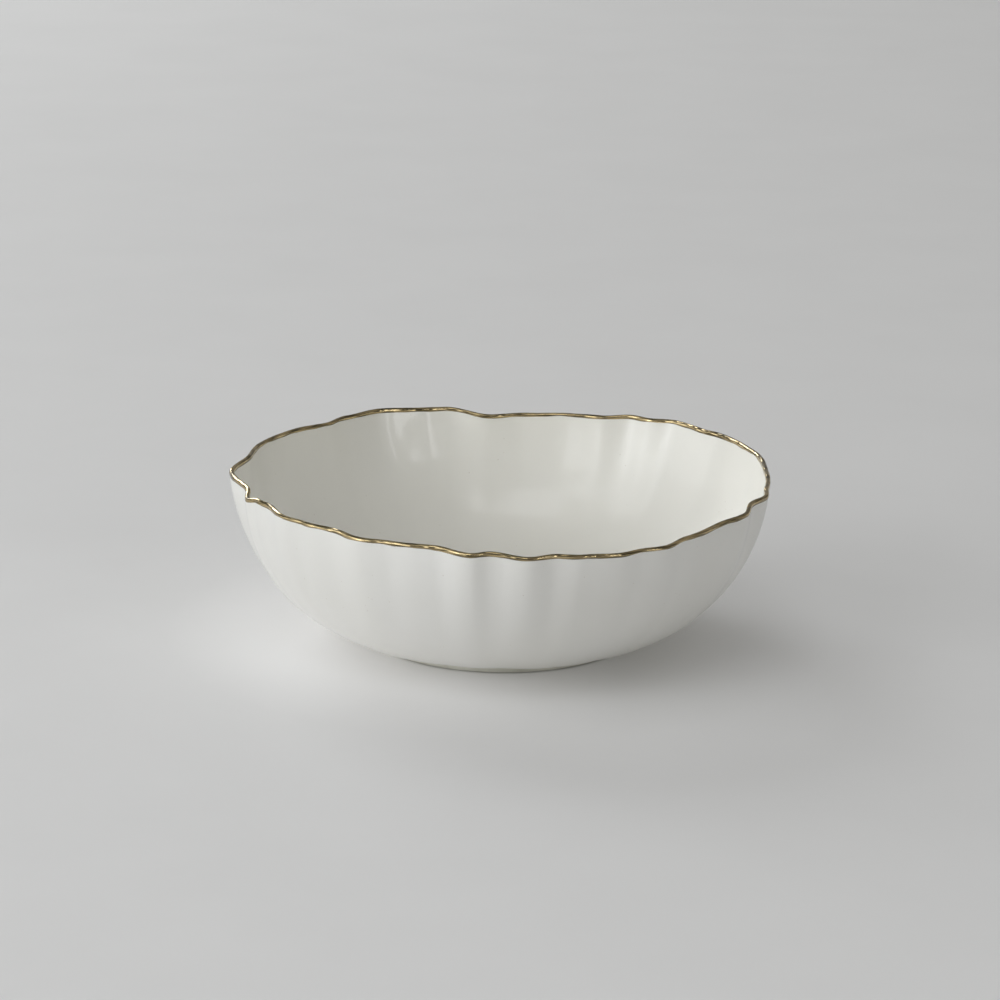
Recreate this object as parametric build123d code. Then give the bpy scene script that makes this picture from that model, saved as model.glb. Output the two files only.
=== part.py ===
from build123d import *
import math
import os

# A porcelain serving bowl, 12 inches across, that stands on a short round foot.
# Millimetres, +Z up. The table is the plane z = 0 and the foot's centre is the origin.
# Angles are in degrees, anticlockwise seen from above, from +X. The front faces -Y.
#
# Five pieces, from the inside of the wall outwards: the fired porcelain body, the foot
# ring under it, the glaze inside, the glaze outside and the gold band over the lip.
# Each coat shares its surfaces with the piece under it, so they meet face to face.

# Driving dimensions of the rim and the wall
RIM_RADIUS = 150.2  # mean radius at the middle of the lip
RIM_HEIGHT = 93.5  # mean height of the lip's crest, the gold not counted
RIM_SADDLE = 4.5  # how much higher the lip is at the sides than at the front and the back
RIM_OFFSET = (1.0, 1.5)  # how far the rim's middle stands from the foot's axis
WAVE_FADE = 2.2  # the rim's waves fade towards the foot as this power of the way up
LIP_THICKNESS = 2.4
FLOOR_THICKNESS = 5.4

# The coats, drawn thicker than they really are so that they are solids
GLAZE_THICKNESS = 0.3
GILDING_THICKNESS = 0.2
GILDING_START = 0.993  # share of the way up the wall where the gold band starts

# The underside and the foot ring
UNDERSIDE_RADIUS = 78.0  # where the flat underside turns up into the wall
UNDERSIDE_HEIGHT = 6.0
TREAD_RADII = (70.6, 73.2)  # the flat ring that stands on the table
TREAD_ROUND = 1.0  # the rounding on both edges of the tread
FOOT_ROOTS = (68.0, 77.0)  # inner and outer radius where the foot joins the body
COVE_DEPTH = 0.9  # how far the hollow outside the foot is scooped in

# The wall's outside is a Bezier curve from the edge of the underside to the lip.
# These are its points before the last one, as (radius, height). It starts level.
WALL_BENDS = [
    (UNDERSIDE_RADIUS, UNDERSIDE_HEIGHT),
    (105.0, UNDERSIDE_HEIGHT),
    (143.0, 32.5),
    (151.0, 76.0),
]

# The crests and hollows of the hand-shaped rim, each as (angle, outward, upward).
# From one to the next the rim eases over in an S-curve.
RIM_WAVES = [
    (3, -1.2, 0.0),
    (20, 2.5, 0.0),
    (36, 5.0, 0.2),
    (40, 4.0, 0.2),
    (50, 7.0, 0.6),
    (56, 2.5, 0.4),
    (60, 3.5, 0.6),
    (67, -2.0, -0.4),
    (74, -2.5, -0.6),
    (84, -4.5, -1.2),
    (93, -7.0, -2.0),
    (103, 2.0, 0.6),
    (108, 2.5, 0.6),
    (118, 5.5, 1.0),
    (127, 2.0, 0.2),
    (135, -4.0, -0.2),
    (144, -2.0, 0.0),
    (160, -2.0, 0.0),
    (171, -4.0, 0.0),
    (184, 2.6, 0.0),
    (197, -2.0, 0.2),
    (202, 1.5, -1.8),
    (206, -0.5, 0.2),
    (210, -2.5, 0.0),
    (218, 1.0, 0.0),
    (224, -1.5, 0.0),
    (232, -4.0, 0.4),
    (239, -1.0, 0.2),
    (246, -3.5, 0.6),
    (256, -4.5, 1.2),
    (264, 0.5, 0.0),
    (268, -2.0, 0.6),
    (276, 3.0, -0.8),
    (281, 1.0, -0.2),
    (287, 3.5, -0.8),
    (295, 6.0, -1.2),
    (299, 5.5, -0.8),
    (304, 7.0, -1.0),
    (311, 3.0, -0.2),
    (323, 0.0, 0.0),
    (331, 2.2, -0.3),
    (338, -1.8, 0.5),
    (345, 1.2, -0.2),
    (351, -1.0, 0.0),
]

# How finely the surfaces are sampled
POINTS_ROUND = 180
WALL_STATIONS = [GILDING_START * step / 10 for step in range(11)]
LIP_BAND = 15  # degrees of the round lip that each of its narrow faces covers
LIP_CREST = 90  # degrees from the wall on either side up to the lip's crest

LIP_RADIUS = LIP_THICKNESS / 2
PROFILE = WALL_BENDS + [(RIM_RADIUS + LIP_RADIUS, RIM_HEIGHT - LIP_RADIUS)]

# A surface is named by its skin, which is how far it lies outside the glaze.
BODY_SKIN = -GLAZE_THICKNESS
GLAZE_SKIN = 0.0
GILDING_SKIN = GILDING_THICKNESS

OUTSIDE = 0
INSIDE = 1


def rim_wave(angle):
    """How far the rim stands outward and upward of its mean at an angle."""
    turn = math.radians(angle)
    offset = RIM_OFFSET[0] * math.cos(turn) + RIM_OFFSET[1] * math.sin(turn)
    saddle = RIM_SADDLE * (0.5 - math.sin(turn) ** 2)
    for index, (start, out_start, up_start) in enumerate(RIM_WAVES):
        end, out_end, up_end = RIM_WAVES[(index + 1) % len(RIM_WAVES)]
        span = (end - start) % 360
        along = (angle - start) % 360
        if along < span:
            share = along / span
            ease = share * share * (3 - 2 * share)
            outward = out_start + (out_end - out_start) * ease
            upward = up_start + (up_end - up_start) * ease
            return outward + offset, upward + saddle


def bezier(points, share):
    """The point at a share of the way along a Bezier curve."""
    while len(points) > 1:
        pairs = zip(points, points[1:])
        points = [(a[0] + (b[0] - a[0]) * share, a[1] + (b[1] - a[1]) * share) for a, b in pairs]
    return points[0]


def wall_frame(up_wall):
    """Point of the wall's outside and its unit tangent, 0 at the underside and 1 at the lip."""
    radius, height = bezier(PROFILE, up_wall)
    slopes = [(b[0] - a[0], b[1] - a[1]) for a, b in zip(PROFILE, PROFILE[1:])]
    slope_r, slope_z = bezier(slopes, up_wall)
    length = math.hypot(slope_r, slope_z)
    return radius, height, slope_r / length, slope_z / length


def wall_section(up_wall, side, skin):
    """Radius and height of the wall's surface on one side at one skin."""
    radius, height, along_r, along_z = wall_frame(up_wall)
    thickness = FLOOR_THICKNESS + (LIP_THICKNESS - FLOOR_THICKNESS) * up_wall
    depth = -skin if side == OUTSIDE else thickness + skin
    return radius - depth * along_z, height + depth * along_r


def lip_section(turn, side, skin):
    """Radius and height on the round lip, after a turn in degrees from the wall on one side."""
    radius, height, along_r, along_z = wall_frame(1.0)
    centre_r = radius - LIP_RADIUS * along_z
    centre_z = height + LIP_RADIUS * along_r
    sign = 1 if side == OUTSIDE else -1
    across = sign * (LIP_RADIUS + skin) * math.cos(math.radians(turn))
    up = (LIP_RADIUS + skin) * math.sin(math.radians(turn))
    return centre_r + across * along_z + up * along_r, centre_z - across * along_r + up * along_z


def ring(section, fade):
    """Closed smooth wire round the bowl, with the rim's waves scaled by fade."""
    points = []
    for step in range(POINTS_ROUND):
        angle = 360 * step / POINTS_ROUND
        outward, upward = rim_wave(angle)
        radius = section[0] + outward * fade
        turn = math.radians(angle)
        points.append(Vector(radius * math.cos(turn), radius * math.sin(turn), section[1] + upward * fade))
    return Wire([Edge.make_spline(points, periodic=True, parameters=list(range(POINTS_ROUND + 1)))])


def wall_ring(up_wall, side, skin):
    return ring(wall_section(up_wall, side, skin), up_wall**WAVE_FADE)


def wall_surface(side, skin):
    """The wall from the floor up to where the gold starts."""
    return Shell.make_loft([wall_ring(up_wall, side, skin) for up_wall in WALL_STATIONS]).faces()


def lip_ring(turn, side, skin):
    return ring(lip_section(turn, side, skin), 1.0)


def crest_ring(skin):
    return lip_ring(LIP_CREST, OUTSIDE, skin)


def lip_surface(side, skin):
    """The lip from where the gold starts up to its crest, as a margin and narrow bands."""
    faces = strip(wall_ring(GILDING_START, side, skin), lip_ring(0, side, skin))
    for turn in range(0, LIP_CREST, LIP_BAND):
        rings = [lip_ring(turn + LIP_BAND * share, side, skin) for share in (0, 0.5, 1)]
        faces += Shell.make_loft(rings).faces()
    return faces


def strip(ring_a, ring_b):
    """The narrow edge of a coat, straight across from one ring to another."""
    return Shell.make_loft([ring_a, ring_b], ruled=True).faces()


def disc(side, skin):
    """The flat floor or underside at one skin."""
    return [Face(wall_ring(0.0, side, skin))]


def closed(*surfaces):
    faces = [face for surface in surfaces for face in surface]
    return Solid(Shell(faces))


def make_body():
    outside = [wall_surface(OUTSIDE, BODY_SKIN), lip_surface(OUTSIDE, BODY_SKIN)]
    inside = [lip_surface(INSIDE, BODY_SKIN), wall_surface(INSIDE, BODY_SKIN)]
    return closed(disc(OUTSIDE, BODY_SKIN), *outside, *inside, disc(INSIDE, BODY_SKIN))


def coat_faces(side):
    """The two faces of a glaze coat on one side of the wall, and its edge at the crest."""
    faces = []
    for skin in (GLAZE_SKIN, BODY_SKIN):
        faces += wall_surface(side, skin) + lip_surface(side, skin)
    return faces + strip(crest_ring(GLAZE_SKIN), crest_ring(BODY_SKIN))


def make_inner_glaze():
    return closed(coat_faces(INSIDE), disc(INSIDE, GLAZE_SKIN), disc(INSIDE, BODY_SKIN))


def make_outer_glaze():
    """The coat on the wall and a disc inside the foot ring, which itself stays bare."""
    inner_root, outer_root = FOOT_ROOTS
    root_edges = []
    margins = []
    for skin in (GLAZE_SKIN, BODY_SKIN):
        root = Wire.make_circle(outer_root, Plane.XY.offset(UNDERSIDE_HEIGHT - skin))
        root_edges.append(root)
        margins.append(Face(wall_ring(0.0, OUTSIDE, skin), [root]))
    wall_coat = closed(coat_faces(OUTSIDE), margins, strip(*root_edges))
    centre_disc = Solid.make_cylinder(inner_root, GLAZE_THICKNESS, Plane.XY.offset(UNDERSIDE_HEIGHT))
    return Compound([wall_coat, centre_disc])


def make_gilding():
    faces = []
    for side in (OUTSIDE, INSIDE):
        for skin in (GILDING_SKIN, GLAZE_SKIN):
            faces += lip_surface(side, skin)
        edges = [wall_ring(GILDING_START, side, skin) for skin in (GILDING_SKIN, GLAZE_SKIN)]
        faces += strip(*edges)
    return closed(faces)


def make_foot():
    """A low turned ring with a rounded tread and a hollow cove round its outside."""
    top = UNDERSIDE_HEIGHT + GLAZE_THICKNESS
    inner_root, outer_root = FOOT_ROOTS
    inner_tread, outer_tread = TREAD_RADII
    rounded = TREAD_ROUND * math.sqrt(0.5)
    outer_low = (outer_tread + TREAD_ROUND, TREAD_ROUND)
    inner_low = (inner_tread - TREAD_ROUND, TREAD_ROUND)
    cove = ((outer_root + outer_low[0]) / 2 - COVE_DEPTH, (top + TREAD_ROUND) / 2)
    with BuildPart() as foot:
        with BuildSketch(Plane.XZ):
            with BuildLine():
                Line((inner_root, top), (outer_root, top))
                ThreePointArc((outer_root, top), cove, outer_low)
                ThreePointArc(outer_low, (outer_tread + rounded, TREAD_ROUND - rounded), (outer_tread, 0))
                Line((outer_tread, 0), (inner_tread, 0))
                ThreePointArc((inner_tread, 0), (inner_tread - rounded, TREAD_ROUND - rounded), inner_low)
                Line(inner_low, (inner_root, top))
            make_face()
        revolve(axis=Axis.Z)
    return foot.part


NODES = {
    "porcelain_body": make_body,
    "foot_ring": make_foot,
    "inner_glaze": make_inner_glaze,
    "outer_glaze": make_outer_glaze,
    "rim_gilding": make_gilding,
}

os.makedirs("parts", exist_ok=True)
for name, make in NODES.items():
    export_step(make(), f"parts/{name}.step")
    print("wrote", name)
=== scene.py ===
# %% [markdown]
# # A porcelain serving bowl with a gold edge
# The real bowl is one thin wall of fired porcelain on a short foot ring. A cream-white
# gloss glaze covers it inside and out, and a band of gold is brushed over the wavy lip.
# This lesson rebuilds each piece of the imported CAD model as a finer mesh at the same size,
# and gives each a finish made only from shader nodes.

# %% Load the frame
import math

import bpy
import numpy as np
from mathutils import Matrix, Vector


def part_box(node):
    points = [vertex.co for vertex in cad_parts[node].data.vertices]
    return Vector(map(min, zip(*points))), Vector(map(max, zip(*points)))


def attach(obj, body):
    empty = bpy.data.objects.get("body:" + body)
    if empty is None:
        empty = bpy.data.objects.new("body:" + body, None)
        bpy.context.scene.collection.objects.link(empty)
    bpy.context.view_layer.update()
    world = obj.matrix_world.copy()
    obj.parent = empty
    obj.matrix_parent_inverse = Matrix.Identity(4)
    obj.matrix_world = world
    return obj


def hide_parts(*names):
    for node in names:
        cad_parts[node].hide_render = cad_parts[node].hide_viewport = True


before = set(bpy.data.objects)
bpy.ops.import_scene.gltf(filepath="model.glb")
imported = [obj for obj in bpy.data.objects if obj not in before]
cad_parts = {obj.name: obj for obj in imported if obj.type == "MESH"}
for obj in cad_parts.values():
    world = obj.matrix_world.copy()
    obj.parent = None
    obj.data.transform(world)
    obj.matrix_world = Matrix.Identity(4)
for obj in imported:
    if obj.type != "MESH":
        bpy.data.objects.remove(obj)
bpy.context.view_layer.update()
print("CAD nodes:", sorted(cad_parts))

# %% [markdown]
# ## The shape as numbers
# A hand-shaped bowl looks free, but it can be told in a few numbers: one curve for the
# wall, and a list of the places where fingers pushed the soft rim in, out, up or down.
# The same numbers shape the CAD model. Three things are only in the meshes here: the soft
# flutes, the slight wave in the wall's lower edge, and the brushed edge of the gold.

# %% Dimensions, in metres unless a name says otherwise
MM = 0.001
RIM_RADIUS = 0.1502  # mean radius at the middle of the lip
RIM_HEIGHT = 0.0935  # mean height of the lip's crest, the gold not counted
RIM_SADDLE = 0.0045  # how much higher the lip is at the sides than at the front and the back
RIM_OFFSET = (0.001, 0.0015)  # how far the rim's middle stands from the foot's axis
WAVE_FADE = 2.2  # the rim's waves fade towards the foot as this power of the way up
LIP_THICKNESS = 0.0024
FLOOR_THICKNESS = 0.0054
GLAZE_THICKNESS = 0.0003
GILDING_THICKNESS = 0.0002

FOOT_ROOTS = (0.068, 0.077)  # inner and outer radius where the foot joins the body
TREAD_RADII = (0.0706, 0.0732)  # the flat ring that stands on the table
TREAD_ROUND = 0.001  # the rounding on both edges of the tread
COVE_DEPTH = 0.0009  # how far the hollow outside the foot is scooped in

UNDERSIDE_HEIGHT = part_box("outer_glaze")[0][2]  # the lowest point of the glaze outside
WALL_BENDS = [(0.078, UNDERSIDE_HEIGHT), (0.105, UNDERSIDE_HEIGHT), (0.143, 0.0325), (0.151, 0.076)]
LIP_RADIUS = LIP_THICKNESS / 2
PROFILE = WALL_BENDS + [(RIM_RADIUS + LIP_RADIUS, RIM_HEIGHT - LIP_RADIUS)]

BODY_SKIN = -GLAZE_THICKNESS
GLAZE_SKIN = 0.0
GILDING_SKIN = GILDING_THICKNESS
OUTSIDE = 0
INSIDE = 1

# The rim's crests and hollows: angle in degrees, then outward and upward in millimetres.
RIM_WAVES = [
    (3, -1.2, 0.0),
    (20, 2.5, 0.0),
    (36, 5.0, 0.2),
    (40, 4.0, 0.2),
    (50, 7.0, 0.6),
    (56, 2.5, 0.4),
    (60, 3.5, 0.6),
    (67, -2.0, -0.4),
    (74, -2.5, -0.6),
    (84, -4.5, -1.2),
    (93, -7.0, -2.0),
    (103, 2.0, 0.6),
    (108, 2.5, 0.6),
    (118, 5.5, 1.0),
    (127, 2.0, 0.2),
    (135, -4.0, -0.2),
    (144, -2.0, 0.0),
    (160, -2.0, 0.0),
    (171, -4.0, 0.0),
    (184, 2.6, 0.0),
    (197, -2.0, 0.2),
    (202, 1.5, -1.8),
    (206, -0.5, 0.2),
    (210, -2.5, 0.0),
    (218, 1.0, 0.0),
    (224, -1.5, 0.0),
    (232, -4.0, 0.4),
    (239, -1.0, 0.2),
    (246, -3.5, 0.6),
    (256, -4.5, 1.2),
    (264, 0.5, 0.0),
    (268, -2.0, 0.6),
    (276, 3.0, -0.8),
    (281, 1.0, -0.2),
    (287, 3.5, -0.8),
    (295, 6.0, -1.2),
    (299, 5.5, -0.8),
    (304, 7.0, -1.0),
    (311, 3.0, -0.2),
    (323, 0.0, 0.0),
    (331, 2.2, -0.3),
    (338, -1.8, 0.5),
    (345, 1.2, -0.2),
    (351, -1.0, 0.0),
]

# Soft grooves that fingers pressed down the wall under the lip: angle, depth in millimetres
# and half width in degrees. They fade to nothing at the lip, so they leave its line alone.
FLUTES = [
    (14, 0.5, 4.0),
    (44, 0.4, 3.5),
    (71, 0.4, 3.5),
    (88, 0.4, 3.0),
    (113, 0.5, 3.0),
    (140, 0.5, 4.0),
    (165, 0.4, 4.0),
    (222, 0.5, 2.6),
    (247, 0.5, 2.4),
    (258, 0.25, 2.6),
    (270.5, 0.3, 2.2),
    (281.6, 0.4, 2.4),
    (293, 0.25, 2.8),
    (318, 0.4, 4.0),
    (343, 0.4, 3.5),
]
# The wall's lower edge, just above the foot, waves a little too. Each wave fits a whole
# number of times round: the number of times, its height and where it starts.
LOWER_WAVES = [(7, 0.00024, 0.9), (13, 0.00020, 2.2), (22, 0.00014, 4.1)]
LOWER_PEAK = 0.1  # share of the way up the wall where these waves are tallest
print("rim waves:", len(RIM_WAVES), "flutes:", len(FLUTES))

# %% [markdown]
# ## From numbers to rings
# Everything on the bowl is a stack of rings. Each ring starts as a plain circle from the
# wall's curve, and the rim's waves are added to it. Near the lip they count in full, and
# they fade out towards the foot, as they do when a wet clay edge is pressed by hand.

# %% Rings round the bowl
POINTS_ROUND = 960
FLUTE_FADE = 5  # the higher this power, the nearer to the lip a flute is deepest
# This makes a flute as deep as its number says at the height where it is deepest.
FLUTE_PEAK = (FLUTE_FADE + 1) ** (FLUTE_FADE + 1) / FLUTE_FADE**FLUTE_FADE
ANGLES = np.arange(POINTS_ROUND) * 2 * np.pi / POINTS_ROUND


def rim_wave_round():
    """Outward and upward shift of the rim at every angle, in metres."""
    degrees = np.degrees(ANGLES)
    starts = np.array([wave[0] for wave in RIM_WAVES], float)
    ends = np.append(starts[1:], starts[0] + 360)
    index = np.searchsorted(starts, degrees, side="right") - 1
    share = ((degrees - starts[index]) % 360) / (ends[index] - starts[index])
    ease = share * share * (3 - 2 * share)
    shifts = []
    for column in (1, 2):
        values = np.array([wave[column] for wave in RIM_WAVES]) * MM
        following = np.roll(values, -1)
        shifts.append(values[index] + (following[index] - values[index]) * ease)
    outward = shifts[0] + RIM_OFFSET[0] * np.cos(ANGLES) + RIM_OFFSET[1] * np.sin(ANGLES)
    upward = shifts[1] + RIM_SADDLE * (0.5 - np.sin(ANGLES) ** 2)
    return outward, upward


def flute_depth_round():
    """How deep the flutes are at every angle, in metres."""
    depth = np.zeros(POINTS_ROUND)
    for angle, deep, half_width in FLUTES:
        away = (np.degrees(ANGLES) - angle + 180) % 360 - 180
        depth += deep * MM * np.exp(-((away / half_width) ** 2))
    return depth


RIM_OUTWARD, RIM_UPWARD = rim_wave_round()
FLUTE_DEPTH = flute_depth_round()
LOWER_WAVE = sum(height * np.sin(times * ANGLES + start) for times, height, start in LOWER_WAVES)


def bezier(points, share):
    """The point at a share of the way along a Bezier curve."""
    while len(points) > 1:
        pairs = zip(points, points[1:])
        points = [(a[0] + (b[0] - a[0]) * share, a[1] + (b[1] - a[1]) * share) for a, b in pairs]
    return points[0]


def wall_frame(up_wall):
    """Point of the wall's outside and its unit tangent, 0 at the underside and 1 at the lip."""
    radius, height = bezier(PROFILE, up_wall)
    slopes = [(b[0] - a[0], b[1] - a[1]) for a, b in zip(PROFILE, PROFILE[1:])]
    slope_r, slope_z = bezier(slopes, up_wall)
    length = math.hypot(slope_r, slope_z)
    return radius, height, slope_r / length, slope_z / length


def ring(radius, height, fade, flute=0.0):
    """One ring of points, with the rim's waves scaled by fade and the flutes by flute."""
    radii = radius + RIM_OUTWARD * fade - FLUTE_DEPTH * flute
    heights = height + RIM_UPWARD * fade
    return np.stack([radii * np.cos(ANGLES), radii * np.sin(ANGLES), heights], axis=1)


def wall_ring(up_wall, side, skin):
    """A ring on one side of the wall. Skin is how far it lies outside the glaze."""
    radius, height, along_r, along_z = wall_frame(up_wall)
    thickness = FLOOR_THICKNESS + (LIP_THICKNESS - FLOOR_THICKNESS) * up_wall
    depth = -skin if side == OUTSIDE else thickness + skin
    flute = FLUTE_PEAK * up_wall**FLUTE_FADE * (1 - up_wall)
    points = ring(radius - depth * along_z, height + depth * along_r, up_wall**WAVE_FADE, flute)
    if side == OUTSIDE:
        share = up_wall / LOWER_PEAK
        points[:, 2] += LOWER_WAVE * share * math.exp(1 - share)
    return points


def lip_ring(turn, side, skin):
    """A ring on the round lip, after a turn in degrees up from the wall on one side."""
    radius, height, along_r, along_z = wall_frame(1.0)
    sign = 1 if side == OUTSIDE else -1
    across = sign * (LIP_RADIUS + skin) * math.cos(math.radians(turn))
    up = (LIP_RADIUS + skin) * math.sin(math.radians(turn))
    centre_r = radius - LIP_RADIUS * along_z
    centre_z = height + LIP_RADIUS * along_r
    return ring(centre_r + across * along_z + up * along_r, centre_z - across * along_r + up * along_z, 1.0)


RINGS_UP_WALL = 61
STEPS_ROUND_LIP = 7
WALL_STATIONS = np.linspace(0, 1, RINGS_UP_WALL)
LIP_TURNS = np.linspace(0, 90, STEPS_ROUND_LIP + 1)[1:]


def coat_rings(side, skin):
    """Rings from the edge of the floor up one side of the wall to the lip's crest."""
    wall = [wall_ring(up_wall, side, skin) for up_wall in WALL_STATIONS]
    return wall + [lip_ring(turn, side, skin) for turn in LIP_TURNS]


print("rings in a coat:", len(coat_rings(OUTSIDE, GLAZE_SKIN)))

# %% [markdown]
# ## From rings to a mesh
# A stack of rings becomes a closed skin in one of two ways. The coat outside, the gold
# band and the foot close on themselves, so the last ring joins the first. The other
# pieces end in the middle of a floor, so a fan of triangles closes each end.

# %% Mesh builder


def mesh_from_rings(name, rings, close_on_itself):
    """A smooth closed mesh from a stack of rings."""
    rows = len(rings)
    points = np.concatenate(rings)
    here = np.arange(POINTS_ROUND)
    beside = (here + 1) % POINTS_ROUND
    faces = []
    for row in range(rows if close_on_itself else rows - 1):
        low = row * POINTS_ROUND
        high = ((row + 1) % rows) * POINTS_ROUND
        faces += np.stack([low + here, low + beside, high + beside, high + here], axis=1).tolist()
    if not close_on_itself:
        centres = np.array([rings[0].mean(axis=0), rings[-1].mean(axis=0)])
        points = np.concatenate([points, centres])
        last = (rows - 1) * POINTS_ROUND
        first_centre = rows * POINTS_ROUND
        faces += [[first_centre, b, a] for a, b in zip(here.tolist(), beside.tolist())]
        faces += [[first_centre + 1, last + a, last + b] for a, b in zip(here.tolist(), beside.tolist())]
    mesh = bpy.data.meshes.new(name)
    mesh.from_pydata(points.tolist(), [], faces)
    mesh.polygons.foreach_set("use_smooth", [True] * len(mesh.polygons))
    mesh.validate()
    piece = bpy.data.objects.new(name, mesh)
    bpy.context.scene.collection.objects.link(piece)
    return piece


def install(piece, node):
    """The piece rides on the bowl's one body and stands for its CAD node."""
    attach(piece, "root")
    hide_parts(node)
    print(piece.name, "faces:", len(piece.data.polygons), "replaces", node)


# %% [markdown]
# ## The porcelain body
# Under the glaze is the fired clay itself, one wall that thins from about 5 mm at the floor
# to about 2 mm at the lip. It hardly shows on a finished bowl, but it is what the coats lie
# on, so it is built whole: up the outside, over the lip and down the inside.

# %% Porcelain body
FLOOR_SHARES = (0.1, 0.4, 0.7, 0.9)  # of the way from the middle of the floor to its edge


def floor_rings(side, skin):
    """Rings across the flat floor or underside, from near the middle to its edge."""
    edge = wall_ring(0.0, side, skin)
    middle = edge.mean(axis=0)
    return [middle + (edge - middle) * share for share in FLOOR_SHARES]


outside = floor_rings(OUTSIDE, BODY_SKIN) + coat_rings(OUTSIDE, BODY_SKIN)
inside = floor_rings(INSIDE, BODY_SKIN) + coat_rings(INSIDE, BODY_SKIN)[:-1]
body = mesh_from_rings("porcelain_wall", outside + inside[::-1], False)
install(body, "porcelain_body")

# %% [markdown]
# ## The glaze
# Glaze is a skin of glass that melts onto the clay in the kiln. On a foot ring it would
# stick the bowl to the shelf, so the potter wipes it off there, and the coat outside stops
# where the foot starts. A disc of glaze inside the foot is a piece of its own.

# %% Glaze coats
DISC_SHARES = (0.1, 0.5, 0.9, 1.0)  # of the way from the middle of the disc to its edge
coat = coat_rings(OUTSIDE, GLAZE_SKIN) + coat_rings(OUTSIDE, BODY_SKIN)[::-1]
root = [ring(FOOT_ROOTS[1], UNDERSIDE_HEIGHT + depth, 0.0) for depth in (GLAZE_THICKNESS, 0.0)]
outer_glaze = mesh_from_rings("glaze_coat_outside", coat + root, True)
install(outer_glaze, "outer_glaze")

under = [ring(FOOT_ROOTS[0] * share, UNDERSIDE_HEIGHT, 0.0) for share in DISC_SHARES]
disc_top = UNDERSIDE_HEIGHT + GLAZE_THICKNESS
over = [ring(FOOT_ROOTS[0] * share, disc_top, 0.0) for share in (DISC_SHARES[-1], DISC_SHARES[0])]
under_glaze = mesh_from_rings("glaze_disc_underneath", under + over, False)
install(under_glaze, "outer_glaze")

outer_skin = floor_rings(INSIDE, GLAZE_SKIN) + coat_rings(INSIDE, GLAZE_SKIN)
inner_skin = floor_rings(INSIDE, BODY_SKIN) + coat_rings(INSIDE, BODY_SKIN)
inner_glaze = mesh_from_rings("glaze_coat_inside", inner_skin + outer_skin[::-1], False)
install(inner_glaze, "inner_glaze")

# %% [markdown]
# ## The gold band
# Liquid gold is brushed over the lip by hand and fired a third time, at a low heat. A
# brush never leaves a ruled line, so the band's two edges wander up and down a little.
# The wander is a sum of a few sine waves that each fit a whole number of times round.

# %% Gold band
BRUSH_REACH = 0.984  # share of the way up the wall that the brush's lowest strokes reach
BRUSH_WAVES = [(5, 0.20, 0.4), (13, 0.20, 1.9), (31, 0.16, 3.1), (67, 0.10, 5.0)]
BRUSH_MEAN = 0.25  # share of the way from the brush's reach to the lip
BRUSH_MOST = 0.92  # the gold's edge never comes nearer to the lip than this share of it


def brush_edge(side, skin, start_turn):
    """The edge of the gold, which wanders between the brush's reach and the lip."""
    wander = np.full(POINTS_ROUND, BRUSH_MEAN)
    for times, height, turn in BRUSH_WAVES:
        wander += height * np.sin(times * ANGLES + turn + start_turn)
    wander = np.clip(wander, 0.0, BRUSH_MOST)[:, None]
    low = wall_ring(BRUSH_REACH, side, skin)
    return low + (wall_ring(1.0, side, skin) - low) * wander


def band_rings(skin):
    """Rings from the gold's edge outside, over the lip, to its edge inside."""
    rings = []
    for side in (OUTSIDE, INSIDE):
        half = [brush_edge(side, skin, float(side)), wall_ring(1.0, side, skin)]
        half += [lip_ring(turn, side, skin) for turn in LIP_TURNS]
        rings += half if side == OUTSIDE else half[-2::-1]
    return rings


gold = mesh_from_rings("gold_band", band_rings(GILDING_SKIN) + band_rings(GLAZE_SKIN)[::-1], True)
install(gold, "rim_gilding")

# %% [markdown]
# ## The foot ring
# The bowl stands on a low ring, turned on the wheel. Its tread is flat and narrow, its
# edges are rounded so that they don't chip, and a shallow cove lets the glaze end in a
# clean line. One outline of straight lines and arcs is spun into rings.

# %% Foot ring
COVE_STEPS = 12
TREAD_STEPS = 6


def arc(start, middle, end, steps):
    """Points on the circle through three points, from the first to the last."""
    (ax, ay), (bx, by), (cx, cy) = start, middle, end
    d = 2 * (ax * (by - cy) + bx * (cy - ay) + cx * (ay - by))
    a2, b2, c2 = ax * ax + ay * ay, bx * bx + by * by, cx * cx + cy * cy
    x = (a2 * (by - cy) + b2 * (cy - ay) + c2 * (ay - by)) / d
    y = (a2 * (cx - bx) + b2 * (ax - cx) + c2 * (bx - ax)) / d
    radius = math.hypot(ax - x, ay - y)
    first = math.atan2(ay - y, ax - x)
    turn = (math.atan2(cy - y, cx - x) - first + math.pi) % (2 * math.pi) - math.pi
    angles = [first + turn * k / steps for k in range(steps + 1)]
    return [(x + radius * math.cos(angle), y + radius * math.sin(angle)) for angle in angles]


def foot_outline():
    """Radius and height round the foot ring's section."""
    top = UNDERSIDE_HEIGHT + GLAZE_THICKNESS
    inner_root, outer_root = FOOT_ROOTS
    inner_tread, outer_tread = TREAD_RADII
    rounded = TREAD_ROUND * math.sqrt(0.5)
    outer_low = (outer_tread + TREAD_ROUND, TREAD_ROUND)
    inner_low = (inner_tread - TREAD_ROUND, TREAD_ROUND)
    cove = ((outer_root + outer_low[0]) / 2 - COVE_DEPTH, (top + TREAD_ROUND) / 2)
    outline = [(inner_root, top)]
    outline += arc((outer_root, top), cove, outer_low, COVE_STEPS)
    outer_middle = (outer_tread + rounded, TREAD_ROUND - rounded)
    inner_middle = (inner_tread - rounded, TREAD_ROUND - rounded)
    outline += arc(outer_low, outer_middle, (outer_tread, 0), TREAD_STEPS)[1:]
    outline += arc((inner_tread, 0), inner_middle, inner_low, TREAD_STEPS)
    return outline


# The outline runs backwards here, so that the faces point out of the clay.
foot_rings = [ring(radius, height, 0.0) for radius, height in reversed(foot_outline())]
foot = mesh_from_rings("foot_ring_bare", foot_rings, True)
install(foot, "foot_ring")

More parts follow.
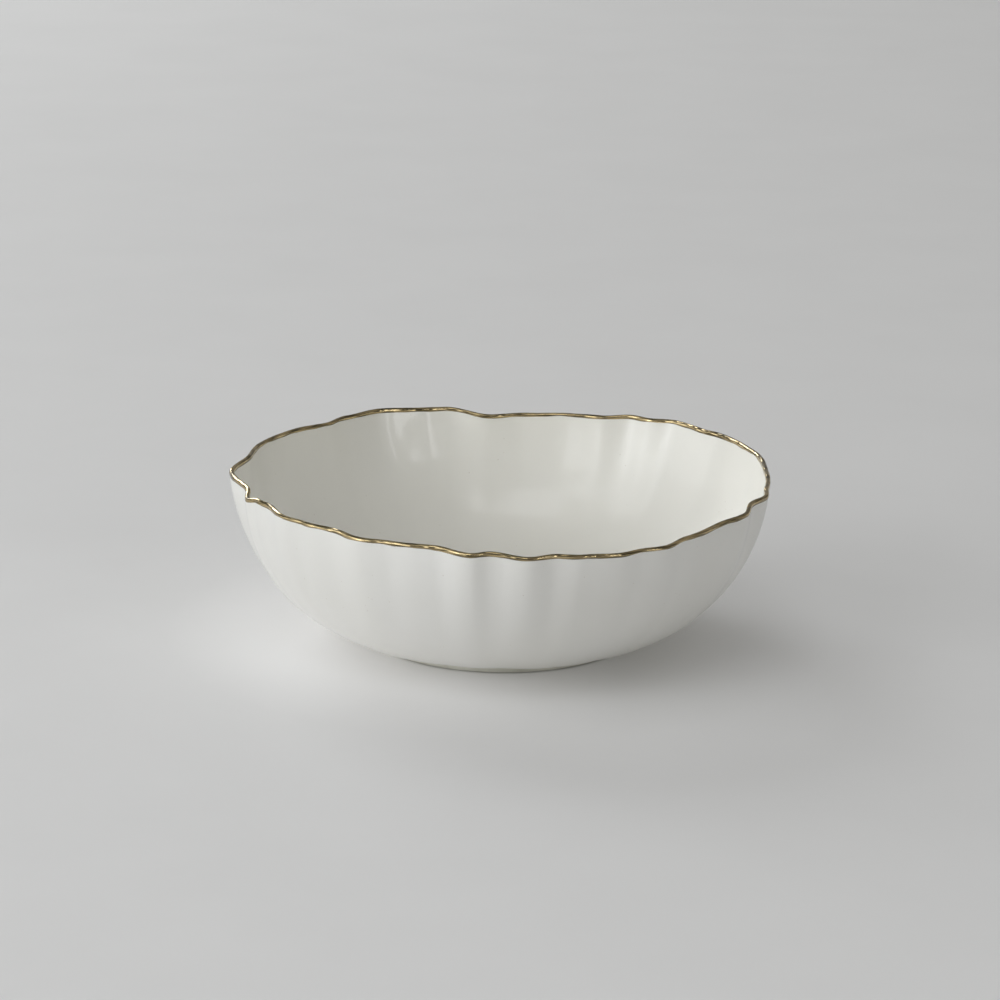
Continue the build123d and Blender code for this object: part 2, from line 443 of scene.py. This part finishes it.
# %% [markdown]
# ## Tools for the finishes
# A finish is a small network of shader nodes. A few short helpers keep each network easy
# to read. They add a node and fill in its inputs, mix two colours, stretch a value over a
# new range, or make a group with named sockets that several finishes can share.

# %% Node helpers
NOISE_RANGE = (0.35, 0.65)  # most noise values lie between these


def connect(tree, value, socket):
    """Link an output to a socket, or set a plain value on it."""
    if isinstance(value, bpy.types.NodeSocket):
        tree.links.new(value, socket)
    else:
        socket.default_value = value


def add_node(tree, kind, inputs=None, **settings):
    """Add a node with its settings, and fill in the inputs that are named."""
    made = tree.nodes.new(kind)
    for key, value in settings.items():
        setattr(made, key, value)
    for key, value in (inputs or {}).items():
        connect(tree, value, made.inputs[key])
    return made


def blend(tree, share, first, second):
    """Mix two colours by a share."""
    mix = add_node(tree, "ShaderNodeMix", data_type="RGBA")
    factor, colour_a, colour_b = mix.inputs[0], mix.inputs[6], mix.inputs[7]
    for value, socket in ((share, factor), (first, colour_a), (second, colour_b)):
        connect(tree, value, socket)
    return mix.outputs[2]


def noise(tree, where, scale, detail=2.0):
    """Soft random values between about 0.3 and 0.7. The scale is in lumps to the metre."""
    inputs = {"Vector": where, "Scale": scale, "Detail": detail}
    return add_node(tree, "ShaderNodeTexNoise", inputs).outputs[0]


def remap(tree, value, low, high, new_low, new_high):
    """Stretch the values between low and high over a new range, and clamp the rest."""
    inputs = {"Value": value, "From Min": low, "From Max": high}
    inputs.update({"To Min": new_low, "To Max": new_high})
    return add_node(tree, "ShaderNodeMapRange", inputs).outputs["Result"]


def multiply(tree, first, second):
    return add_node(tree, "ShaderNodeMath", {0: first, 1: second}, operation="MULTIPLY").outputs[0]


def bump(tree, height, distance, normal=None):
    """A dent or lump on the surface as tall as distance."""
    inputs = {"Height": height, "Distance": distance}
    if normal is not None:
        inputs["Normal"] = normal
    return add_node(tree, "ShaderNodeBump", inputs).outputs["Normal"]


def object_place(tree):
    """The place on the object itself, in metres, so a finish never slides over it."""
    return add_node(tree, "ShaderNodeTexCoord").outputs["Object"]


COLOUR = "NodeSocketColor"
NUMBER = "NodeSocketFloat"
VECTOR = "NodeSocketVector"


def new_group(name, inputs, outputs):
    """A shader node group. Inputs are (name, kind, default) and outputs are (name, kind)."""
    group = bpy.data.node_groups.new(name, "ShaderNodeTree")
    for label, kind, default in inputs:
        socket = group.interface.new_socket(name=label, in_out="INPUT", socket_type=kind)
        socket.default_value = default
    for label, kind in outputs:
        group.interface.new_socket(name=label, in_out="OUTPUT", socket_type=kind)
    given = group.nodes.new("NodeGroupInput").outputs
    wanted = group.nodes.new("NodeGroupOutput").inputs
    return group, given, wanted


def use_group(tree, group, inputs):
    return add_node(tree, "ShaderNodeGroup", inputs, node_tree=group).outputs


print("node helpers ready")

# %% [markdown]
# ## The tone of the glaze
# Up close a glaze is never one colour. It is thicker and warmer where it ran down and
# pooled above the foot, it clouds a little from place to place, and a few pinholes and
# iron specks stay in it. This group gives that tone and how polished the skin is.

# %% Group: glaze tone
CLOUD_SCALE = 14.0
CLOUD_SHARE = 0.28  # how much of the pooled colour the clouds alone can bring
PIT_SCALE = 210.0
PIT_EDGE = (0.05, 0.10)  # a speck fades out between these shares of its own cell
PATCH_SCALE = 45.0
PATCH_EDGE = (0.52, 0.60)  # specks come only where this slow noise is high
POLISH_SCALE = 60.0
GLAZE_POLISH = (0.34, 0.42)
glaze_tone, given, wanted = new_group(
    "glaze tone",
    [
        ("Thin Colour", COLOUR, (0.80, 0.79, 0.74, 1)),
        ("Pooled Colour", COLOUR, (0.74, 0.72, 0.64, 1)),
        ("Speck Colour", COLOUR, (0.42, 0.34, 0.24, 1)),
        ("Pool Top", NUMBER, 0.03),
        ("Speck Amount", NUMBER, 0.3),
    ],
    [("Colour", COLOUR), ("Roughness", NUMBER)],
)
place = object_place(glaze_tone)
height = add_node(glaze_tone, "ShaderNodeSeparateXYZ", {"Vector": place}).outputs["Z"]
run_down = remap(glaze_tone, height, UNDERSIDE_HEIGHT, given["Pool Top"], 1.0, 0.0)
cloud = remap(glaze_tone, noise(glaze_tone, place, CLOUD_SCALE), *NOISE_RANGE, 0.0, 1.0)
clouded = multiply(glaze_tone, cloud, CLOUD_SHARE)
pool_terms = {0: run_down, 1: cloud, 2: clouded}
pooled = add_node(glaze_tone, "ShaderNodeMath", pool_terms, operation="MULTIPLY_ADD")
tone = blend(glaze_tone, pooled.outputs[0], given["Thin Colour"], given["Pooled Colour"])
pit = add_node(glaze_tone, "ShaderNodeTexVoronoi", {"Vector": place, "Scale": PIT_SCALE}).outputs["Distance"]
speck = remap(glaze_tone, pit, *PIT_EDGE, 1.0, 0.0)
patch = remap(glaze_tone, noise(glaze_tone, place, PATCH_SCALE), *PATCH_EDGE, 0.0, 1.0)
specks = multiply(glaze_tone, multiply(glaze_tone, speck, patch), given["Speck Amount"])
connect(glaze_tone, blend(glaze_tone, specks, tone, given["Speck Colour"]), wanted["Colour"])
polish_noise = noise(glaze_tone, place, POLISH_SCALE, 4.0)
polish = remap(glaze_tone, polish_noise, *NOISE_RANGE, *GLAZE_POLISH)
connect(glaze_tone, polish, wanted["Roughness"])
print("group:", glaze_tone.name)

# %% [markdown]
# ## The ripple of the glaze
# Melted glaze flows, and it sets with slow swells a few centimetres long and a fine
# orange peel. Reflections bend over both, and that is what makes a surface read as
# glazed and not as plastic. The same group serves every glazed or gilded piece.

# %% Group: fired ripple
fired_ripple, given, wanted = new_group(
    "fired ripple",
    [
        ("Swell Scale", NUMBER, 30.0),
        ("Swell Height", NUMBER, 0.0006),
        ("Peel Scale", NUMBER, 420.0),
        ("Peel Height", NUMBER, 0.00001),
    ],
    [("Normal", VECTOR)],
)
place = object_place(fired_ripple)
swell = noise(fired_ripple, place, given["Swell Scale"], 1.0)
peel = noise(fired_ripple, place, given["Peel Scale"], 1.0)
swelled = bump(fired_ripple, swell, given["Swell Height"])
connect(fired_ripple, bump(fired_ripple, peel, given["Peel Height"], swelled), wanted["Normal"])
print("group:", fired_ripple.name)

# %% [markdown]
# ## Grit
# Bare fired clay and a paper backdrop have the same kind of surface: no shine, a fine
# grain that can be felt, and a faint mottle. One group makes both. Each has colours of its
# own, and a size of its own for the grain or for the mottle.

# %% Group: grit
MOTTLE_RANGE = (0.35, 0.68)
GRAIN_RANGE = (0.3, 0.7)
GRIT_ROUGHNESS = (0.7, 0.92)
grit, given, wanted = new_group(
    "grit",
    [
        ("Light Colour", COLOUR, (0.78, 0.75, 0.68, 1)),
        ("Dark Colour", COLOUR, (0.55, 0.51, 0.44, 1)),
        ("Mottle Scale", NUMBER, 60.0),
        ("Grain Scale", NUMBER, 1500.0),
        ("Grain Height", NUMBER, 0.00005),
    ],
    [("Colour", COLOUR), ("Roughness", NUMBER), ("Normal", VECTOR)],
)
place = object_place(grit)
mottle = remap(grit, noise(grit, place, given["Mottle Scale"], 5.0), *MOTTLE_RANGE, 0.0, 1.0)
grain = noise(grit, place, given["Grain Scale"], 3.0)
connect(grit, blend(grit, mottle, given["Light Colour"], given["Dark Colour"]), wanted["Colour"])
connect(grit, remap(grit, grain, *GRAIN_RANGE, *GRIT_ROUGHNESS), wanted["Roughness"])
connect(grit, bump(grit, grain, given["Grain Height"]), wanted["Normal"])
print("group:", grit.name)

# %% [markdown]
# ## The two glazes
# The glaze is glass over white clay, so it is a plain shader under a thin polished coat,
# with the groups' tone and ripple. Inside, the glaze colour is set a shade lighter and warmer.
# Part of that is painted bounce light, the warm light that bounces round the inside of the bowl,
# and part is the thicker floor of glaze, which lets more of its cream colour show.

# %% Glaze materials
GLAZE_SWELL = {"Swell Scale": 24.0, "Swell Height": 0.0009}
COAT_WEIGHT = 0.4
COAT_ROUGHNESS = 0.09


def new_finish(name):
    """A new material with its node tree and its one surface shader."""
    material = bpy.data.materials.new(name)
    material.use_nodes = True
    tree = material.node_tree
    return material, tree, tree.nodes["Principled BSDF"]


def glaze_finish(name, thin_colour, pooled_colour, pool_top):
    material, tree, shader = new_finish(name)
    tone_inputs = {"Thin Colour": thin_colour, "Pooled Colour": pooled_colour, "Pool Top": pool_top}
    tone = use_group(tree, glaze_tone, tone_inputs)
    ripple = use_group(tree, fired_ripple, GLAZE_SWELL)
    connect(tree, tone["Colour"], shader.inputs["Base Color"])
    connect(tree, tone["Roughness"], shader.inputs["Roughness"])
    connect(tree, ripple["Normal"], shader.inputs["Normal"])
    shader.inputs["Coat Weight"].default_value = COAT_WEIGHT
    shader.inputs["Coat Roughness"].default_value = COAT_ROUGHNESS
    print("finish:", name)
    return material


OUTSIDE_GLAZE = (0.86, 0.853, 0.817, 1)
OUTSIDE_POOL = (0.805, 0.793, 0.73, 1)
# The inside colours are lighter and warmer than the outside ones: partly painted bounce light, partly the
# thicker glaze on the floor.
INSIDE_GLAZE_WITH_PAINTED_BOUNCE = (0.89, 0.878, 0.818, 1)
INSIDE_POOL_WITH_PAINTED_BOUNCE = (0.86, 0.846, 0.78, 1)
POOL_TOP_OUTSIDE = 0.022  # height up to which the glaze has run down and pooled
POOL_TOP_INSIDE = 0.05
glaze_outside = glaze_finish("cream glaze outside", OUTSIDE_GLAZE, OUTSIDE_POOL, POOL_TOP_OUTSIDE)
glaze_inside_with_painted_bounce = glaze_finish("cream glaze inside with painted bounce", INSIDE_GLAZE_WITH_PAINTED_BOUNCE, INSIDE_POOL_WITH_PAINTED_BOUNCE, POOL_TOP_INSIDE)
outer_glaze.data.materials.append(glaze_outside)
under_glaze.data.materials.append(glaze_outside)
inner_glaze.data.materials.append(glaze_inside_with_painted_bounce)

# %% [markdown]
# ## The gold
# Gold lustre is so thin that the clay's own lumps show through it, and it is thicker
# where the brush was full. Thin strokes look brown and full strokes look bright. The
# strokes run along the lip, so the noise is stretched flat: slow sideways, fast upwards.

# %% Gold material
THIN_GOLD = (0.13, 0.105, 0.055, 1)
FULL_GOLD = (0.66, 0.52, 0.29, 1)
STROKE_STRETCH = (1.0, 1.0, 14.0)
STROKE_SCALE = 75.0
STROKE_RANGE = (0.36, 0.62)
WORN_SCALE = 260.0
GOLD_POLISH = (0.10, 0.26)
GOLD_RIPPLE = {"Swell Scale": 110.0, "Swell Height": 0.0016, "Peel Height": 0.00002}
gold_lustre, tree, shader = new_finish("brushed gold lustre")
place = object_place(tree)
stretched = add_node(tree, "ShaderNodeMapping", {"Vector": place, "Scale": STROKE_STRETCH})
stroke_noise = noise(tree, stretched.outputs[0], STROKE_SCALE, 3.0)
stroke = remap(tree, stroke_noise, *STROKE_RANGE, 0.0, 1.0)
connect(tree, blend(tree, stroke, THIN_GOLD, FULL_GOLD), shader.inputs["Base Color"])
worn = noise(tree, place, WORN_SCALE, 4.0)
connect(tree, remap(tree, worn, *NOISE_RANGE, *GOLD_POLISH), shader.inputs["Roughness"])
ripple = use_group(tree, fired_ripple, GOLD_RIPPLE)
connect(tree, ripple["Normal"], shader.inputs["Normal"])
shader.inputs["Metallic"].default_value = 1.0
gold.data.materials.append(gold_lustre)
print("finish:", gold_lustre.name)

# %% [markdown]
# ## Bare clay
# The foot's tread is sanded after firing and picks up grey from every shelf it stands
# on. The wall under the glaze has the same clay, clean and a little finer.

# %% Bare clay materials


def bare_clay(name, light_colour, dark_colour, grain_scale):
    material, tree, shader = new_finish(name)
    inputs = {"Light Colour": light_colour, "Dark Colour": dark_colour, "Grain Scale": grain_scale}
    clay = use_group(tree, grit, inputs)
    connect(tree, clay["Colour"], shader.inputs["Base Color"])
    connect(tree, clay["Roughness"], shader.inputs["Roughness"])
    connect(tree, clay["Normal"], shader.inputs["Normal"])
    print("finish:", name)
    return material


SANDED_LIGHT = (0.80, 0.79, 0.71, 1)
SANDED_DARK = (0.66, 0.65, 0.57, 1)
FIRED_LIGHT = (0.82, 0.80, 0.75, 1)
FIRED_DARK = (0.74, 0.71, 0.65, 1)
SANDED_GRAIN = 1400.0
FIRED_GRAIN = 2200.0
foot.data.materials.append(bare_clay("sanded foot", SANDED_LIGHT, SANDED_DARK, SANDED_GRAIN))
body.data.materials.append(bare_clay("fired body", FIRED_LIGHT, FIRED_DARK, FIRED_GRAIN))

# %% [markdown]
# ## The studio floor
# A wide sheet of pale matt paper, so that nothing competes with the bowl and its soft
# shadow. It glows faintly, which thins the shadow. Near the foot the glow is set stronger
# on the lit side and weaker on the other, which shapes the soft shadow there. None of this
# copies a real sheet of paper. It is a setting of the stage, and not part of the bowl.

# %% Floor
FLOOR_HALF = 6.0
PAPER_LIGHT = (0.56, 0.558, 0.55, 1)
PAPER_DARK = (0.545, 0.543, 0.535, 1)
NO_GLOW = (0, 0, 0, 1)  # under the foot
PAPER_GLOW = (0.150, 0.149, 0.147, 1)
GLOW_LEFT = (0.25, 0.248, 0.245, 1)  # beside the foot, on the side of the lights
GLOW_RIGHT = (0.09, 0.089, 0.086, 1)  # beside the foot, on the side of the shadow
PAPER_MOTTLE = 9.0
GLOW_SPREAD = (0.10, 0.19)  # from here to here, measured from the middle, the glow evens out
GLOW_TURN = (-0.09, 0.07)  # from here to here along X, the left glow turns into the right one
floor_mesh = bpy.data.meshes.new("studio_floor")
signs = [(-1, -1), (1, -1), (1, 1), (-1, 1)]
floor_mesh.from_pydata([(x * FLOOR_HALF, y * FLOOR_HALF, 0) for x, y in signs], [], [(0, 1, 2, 3)])
floor = bpy.data.objects.new("studio_floor", floor_mesh)
bpy.context.scene.collection.objects.link(floor)
paper, tree, shader = new_finish("matt paper")
sheet_inputs = {"Light Colour": PAPER_LIGHT, "Dark Colour": PAPER_DARK, "Mottle Scale": PAPER_MOTTLE}
sheet = use_group(tree, grit, sheet_inputs)
connect(tree, sheet["Colour"], shader.inputs["Base Color"])
connect(tree, sheet["Roughness"], shader.inputs["Roughness"])
place = object_place(tree)
across = add_node(tree, "ShaderNodeSeparateXYZ", {"Vector": place}).outputs["X"]
away = add_node(tree, "ShaderNodeVectorMath", {0: place}, operation="LENGTH").outputs["Value"]
beside = blend(tree, remap(tree, across, *GLOW_TURN, 0.0, 1.0), GLOW_LEFT, GLOW_RIGHT)
glow = blend(tree, remap(tree, away, *GLOW_SPREAD, 1.0, 0.0), PAPER_GLOW, beside)
covered = remap(tree, away, TREAD_RADII[1], FOOT_ROOTS[1], 1.0, 0.0)
connect(tree, blend(tree, covered, glow, NO_GLOW), shader.inputs["Emission Color"])
shader.inputs["Emission Strength"].default_value = 1.0
floor_mesh.materials.append(paper)
print("floor:", 2 * FLOOR_HALF, "m wide")

# %% [markdown]
# ## The light
# Three large soft lights stand on the left, a fourth hangs over the front and a fifth
# stands far back on the left. Together they light the wall and the paper close to the
# foot, and their shadow falls softly to the right. Two narrow window panes on the right
# put crisp glints on the glaze and the gold. The room is brighter behind the bowl than
# behind the camera, which gives the gold something dark to reflect.

# %% Lights
BOWL_MIDDLE = Vector((0, 0, 0.05))


def soft_light(name, place, width, height, watts, colour):
    """A rectangular light that faces the bowl."""
    data = bpy.data.lights.new(name, "AREA")
    data.shape = "RECTANGLE"
    data.size = width
    data.size_y = height
    data.energy = watts
    data.color = colour
    lamp = bpy.data.objects.new(name, data)
    lamp.location = place
    lamp.rotation_euler = (BOWL_MIDDLE - Vector(place)).to_track_quat("-Z", "Y").to_euler()
    bpy.context.scene.collection.objects.link(lamp)
    print("light:", name, watts, "W")
    return lamp


COOL_DAYLIGHT = (0.955, 0.975, 1.0)
soft_light("key_left_front", (-2.3, -1.8, 1.0), 2.0, 1.6, 20, COOL_DAYLIGHT)
soft_light("key_left", (-2.2, -0.9, 1.6), 2.0, 2.0, 17.5, COOL_DAYLIGHT)
soft_light("key_left_low", (-3.0, -0.3, 0.7), 2.6, 1.2, 12.5, COOL_DAYLIGHT)
soft_light("front_overhead", (-0.6, -1.5, 2.9), 1.6, 1.2, 11, COOL_DAYLIGHT)
soft_light("far_back_left", (-2.0, 3.4, 2.0), 2.0, 2.0, 67, COOL_DAYLIGHT)
soft_light("window_pane_near", (1.15, -1.87, 0.9), 0.16, 1.1, 2.6, COOL_DAYLIGHT)
soft_light("window_pane_far", (1.52, -1.59, 0.9), 0.16, 1.1, 2.6, COOL_DAYLIGHT)

ROOM_BEHIND_BOWL = (0.25, 0.247, 0.24, 1)
ROOM_BEHIND_CAMERA = (0.17, 0.167, 0.16, 1)
ROOM_TURN = (-0.9, 0.0)  # directions along Y over which one room colour turns into the other
room = bpy.data.worlds.new("studio_room")
room.use_nodes = True
tree = room.node_tree
direction = add_node(tree, "ShaderNodeTexCoord").outputs["Generated"]
towards_back = add_node(tree, "ShaderNodeSeparateXYZ", {"Vector": direction}).outputs["Y"]
share = remap(tree, towards_back, *ROOM_TURN, 0.0, 1.0)
room_colour = blend(tree, share, ROOM_BEHIND_CAMERA, ROOM_BEHIND_BOWL)
connect(tree, room_colour, tree.nodes["Background"].inputs["Color"])
bpy.context.scene.world = room
bpy.context.scene.view_settings.view_transform = "Standard"

# %% [markdown]
# ## The camera
# A long lens from 2.4 m away, a little above the rim, shows both the inside and the
# wall and keeps the ellipse of the rim calm. The small roll and the shift only frame it.

# %% Camera
VIEW_ELEVATION = math.radians(16.78)
VIEW_DISTANCE = 2.4
VIEW_ROLL = math.radians(1.0)
VIEW_TARGET = Vector((-0.0001, 0, 0.05))
LENS_MM = 152.5
SENSOR_MM = 36.0
DROP_IN_FRAME = 0.0478  # share of the frame that the target lies below the middle

camera_data = bpy.data.cameras.new("camera")
camera_data.lens = LENS_MM
camera_data.sensor_width = SENSOR_MM
camera_data.shift_y = DROP_IN_FRAME
camera = bpy.data.objects.new("camera", camera_data)
back = Vector((0, -math.cos(VIEW_ELEVATION), math.sin(VIEW_ELEVATION)))
camera.location = VIEW_TARGET + back * VIEW_DISTANCE
look = (-back).to_track_quat("-Z", "Y").to_matrix().to_4x4()
camera.matrix_world = Matrix.Translation(camera.location) @ look @ Matrix.Rotation(VIEW_ROLL, 4, "Z")
bpy.context.scene.collection.objects.link(camera)
bpy.context.scene.camera = camera
print("camera at", [round(v, 3) for v in camera.location])
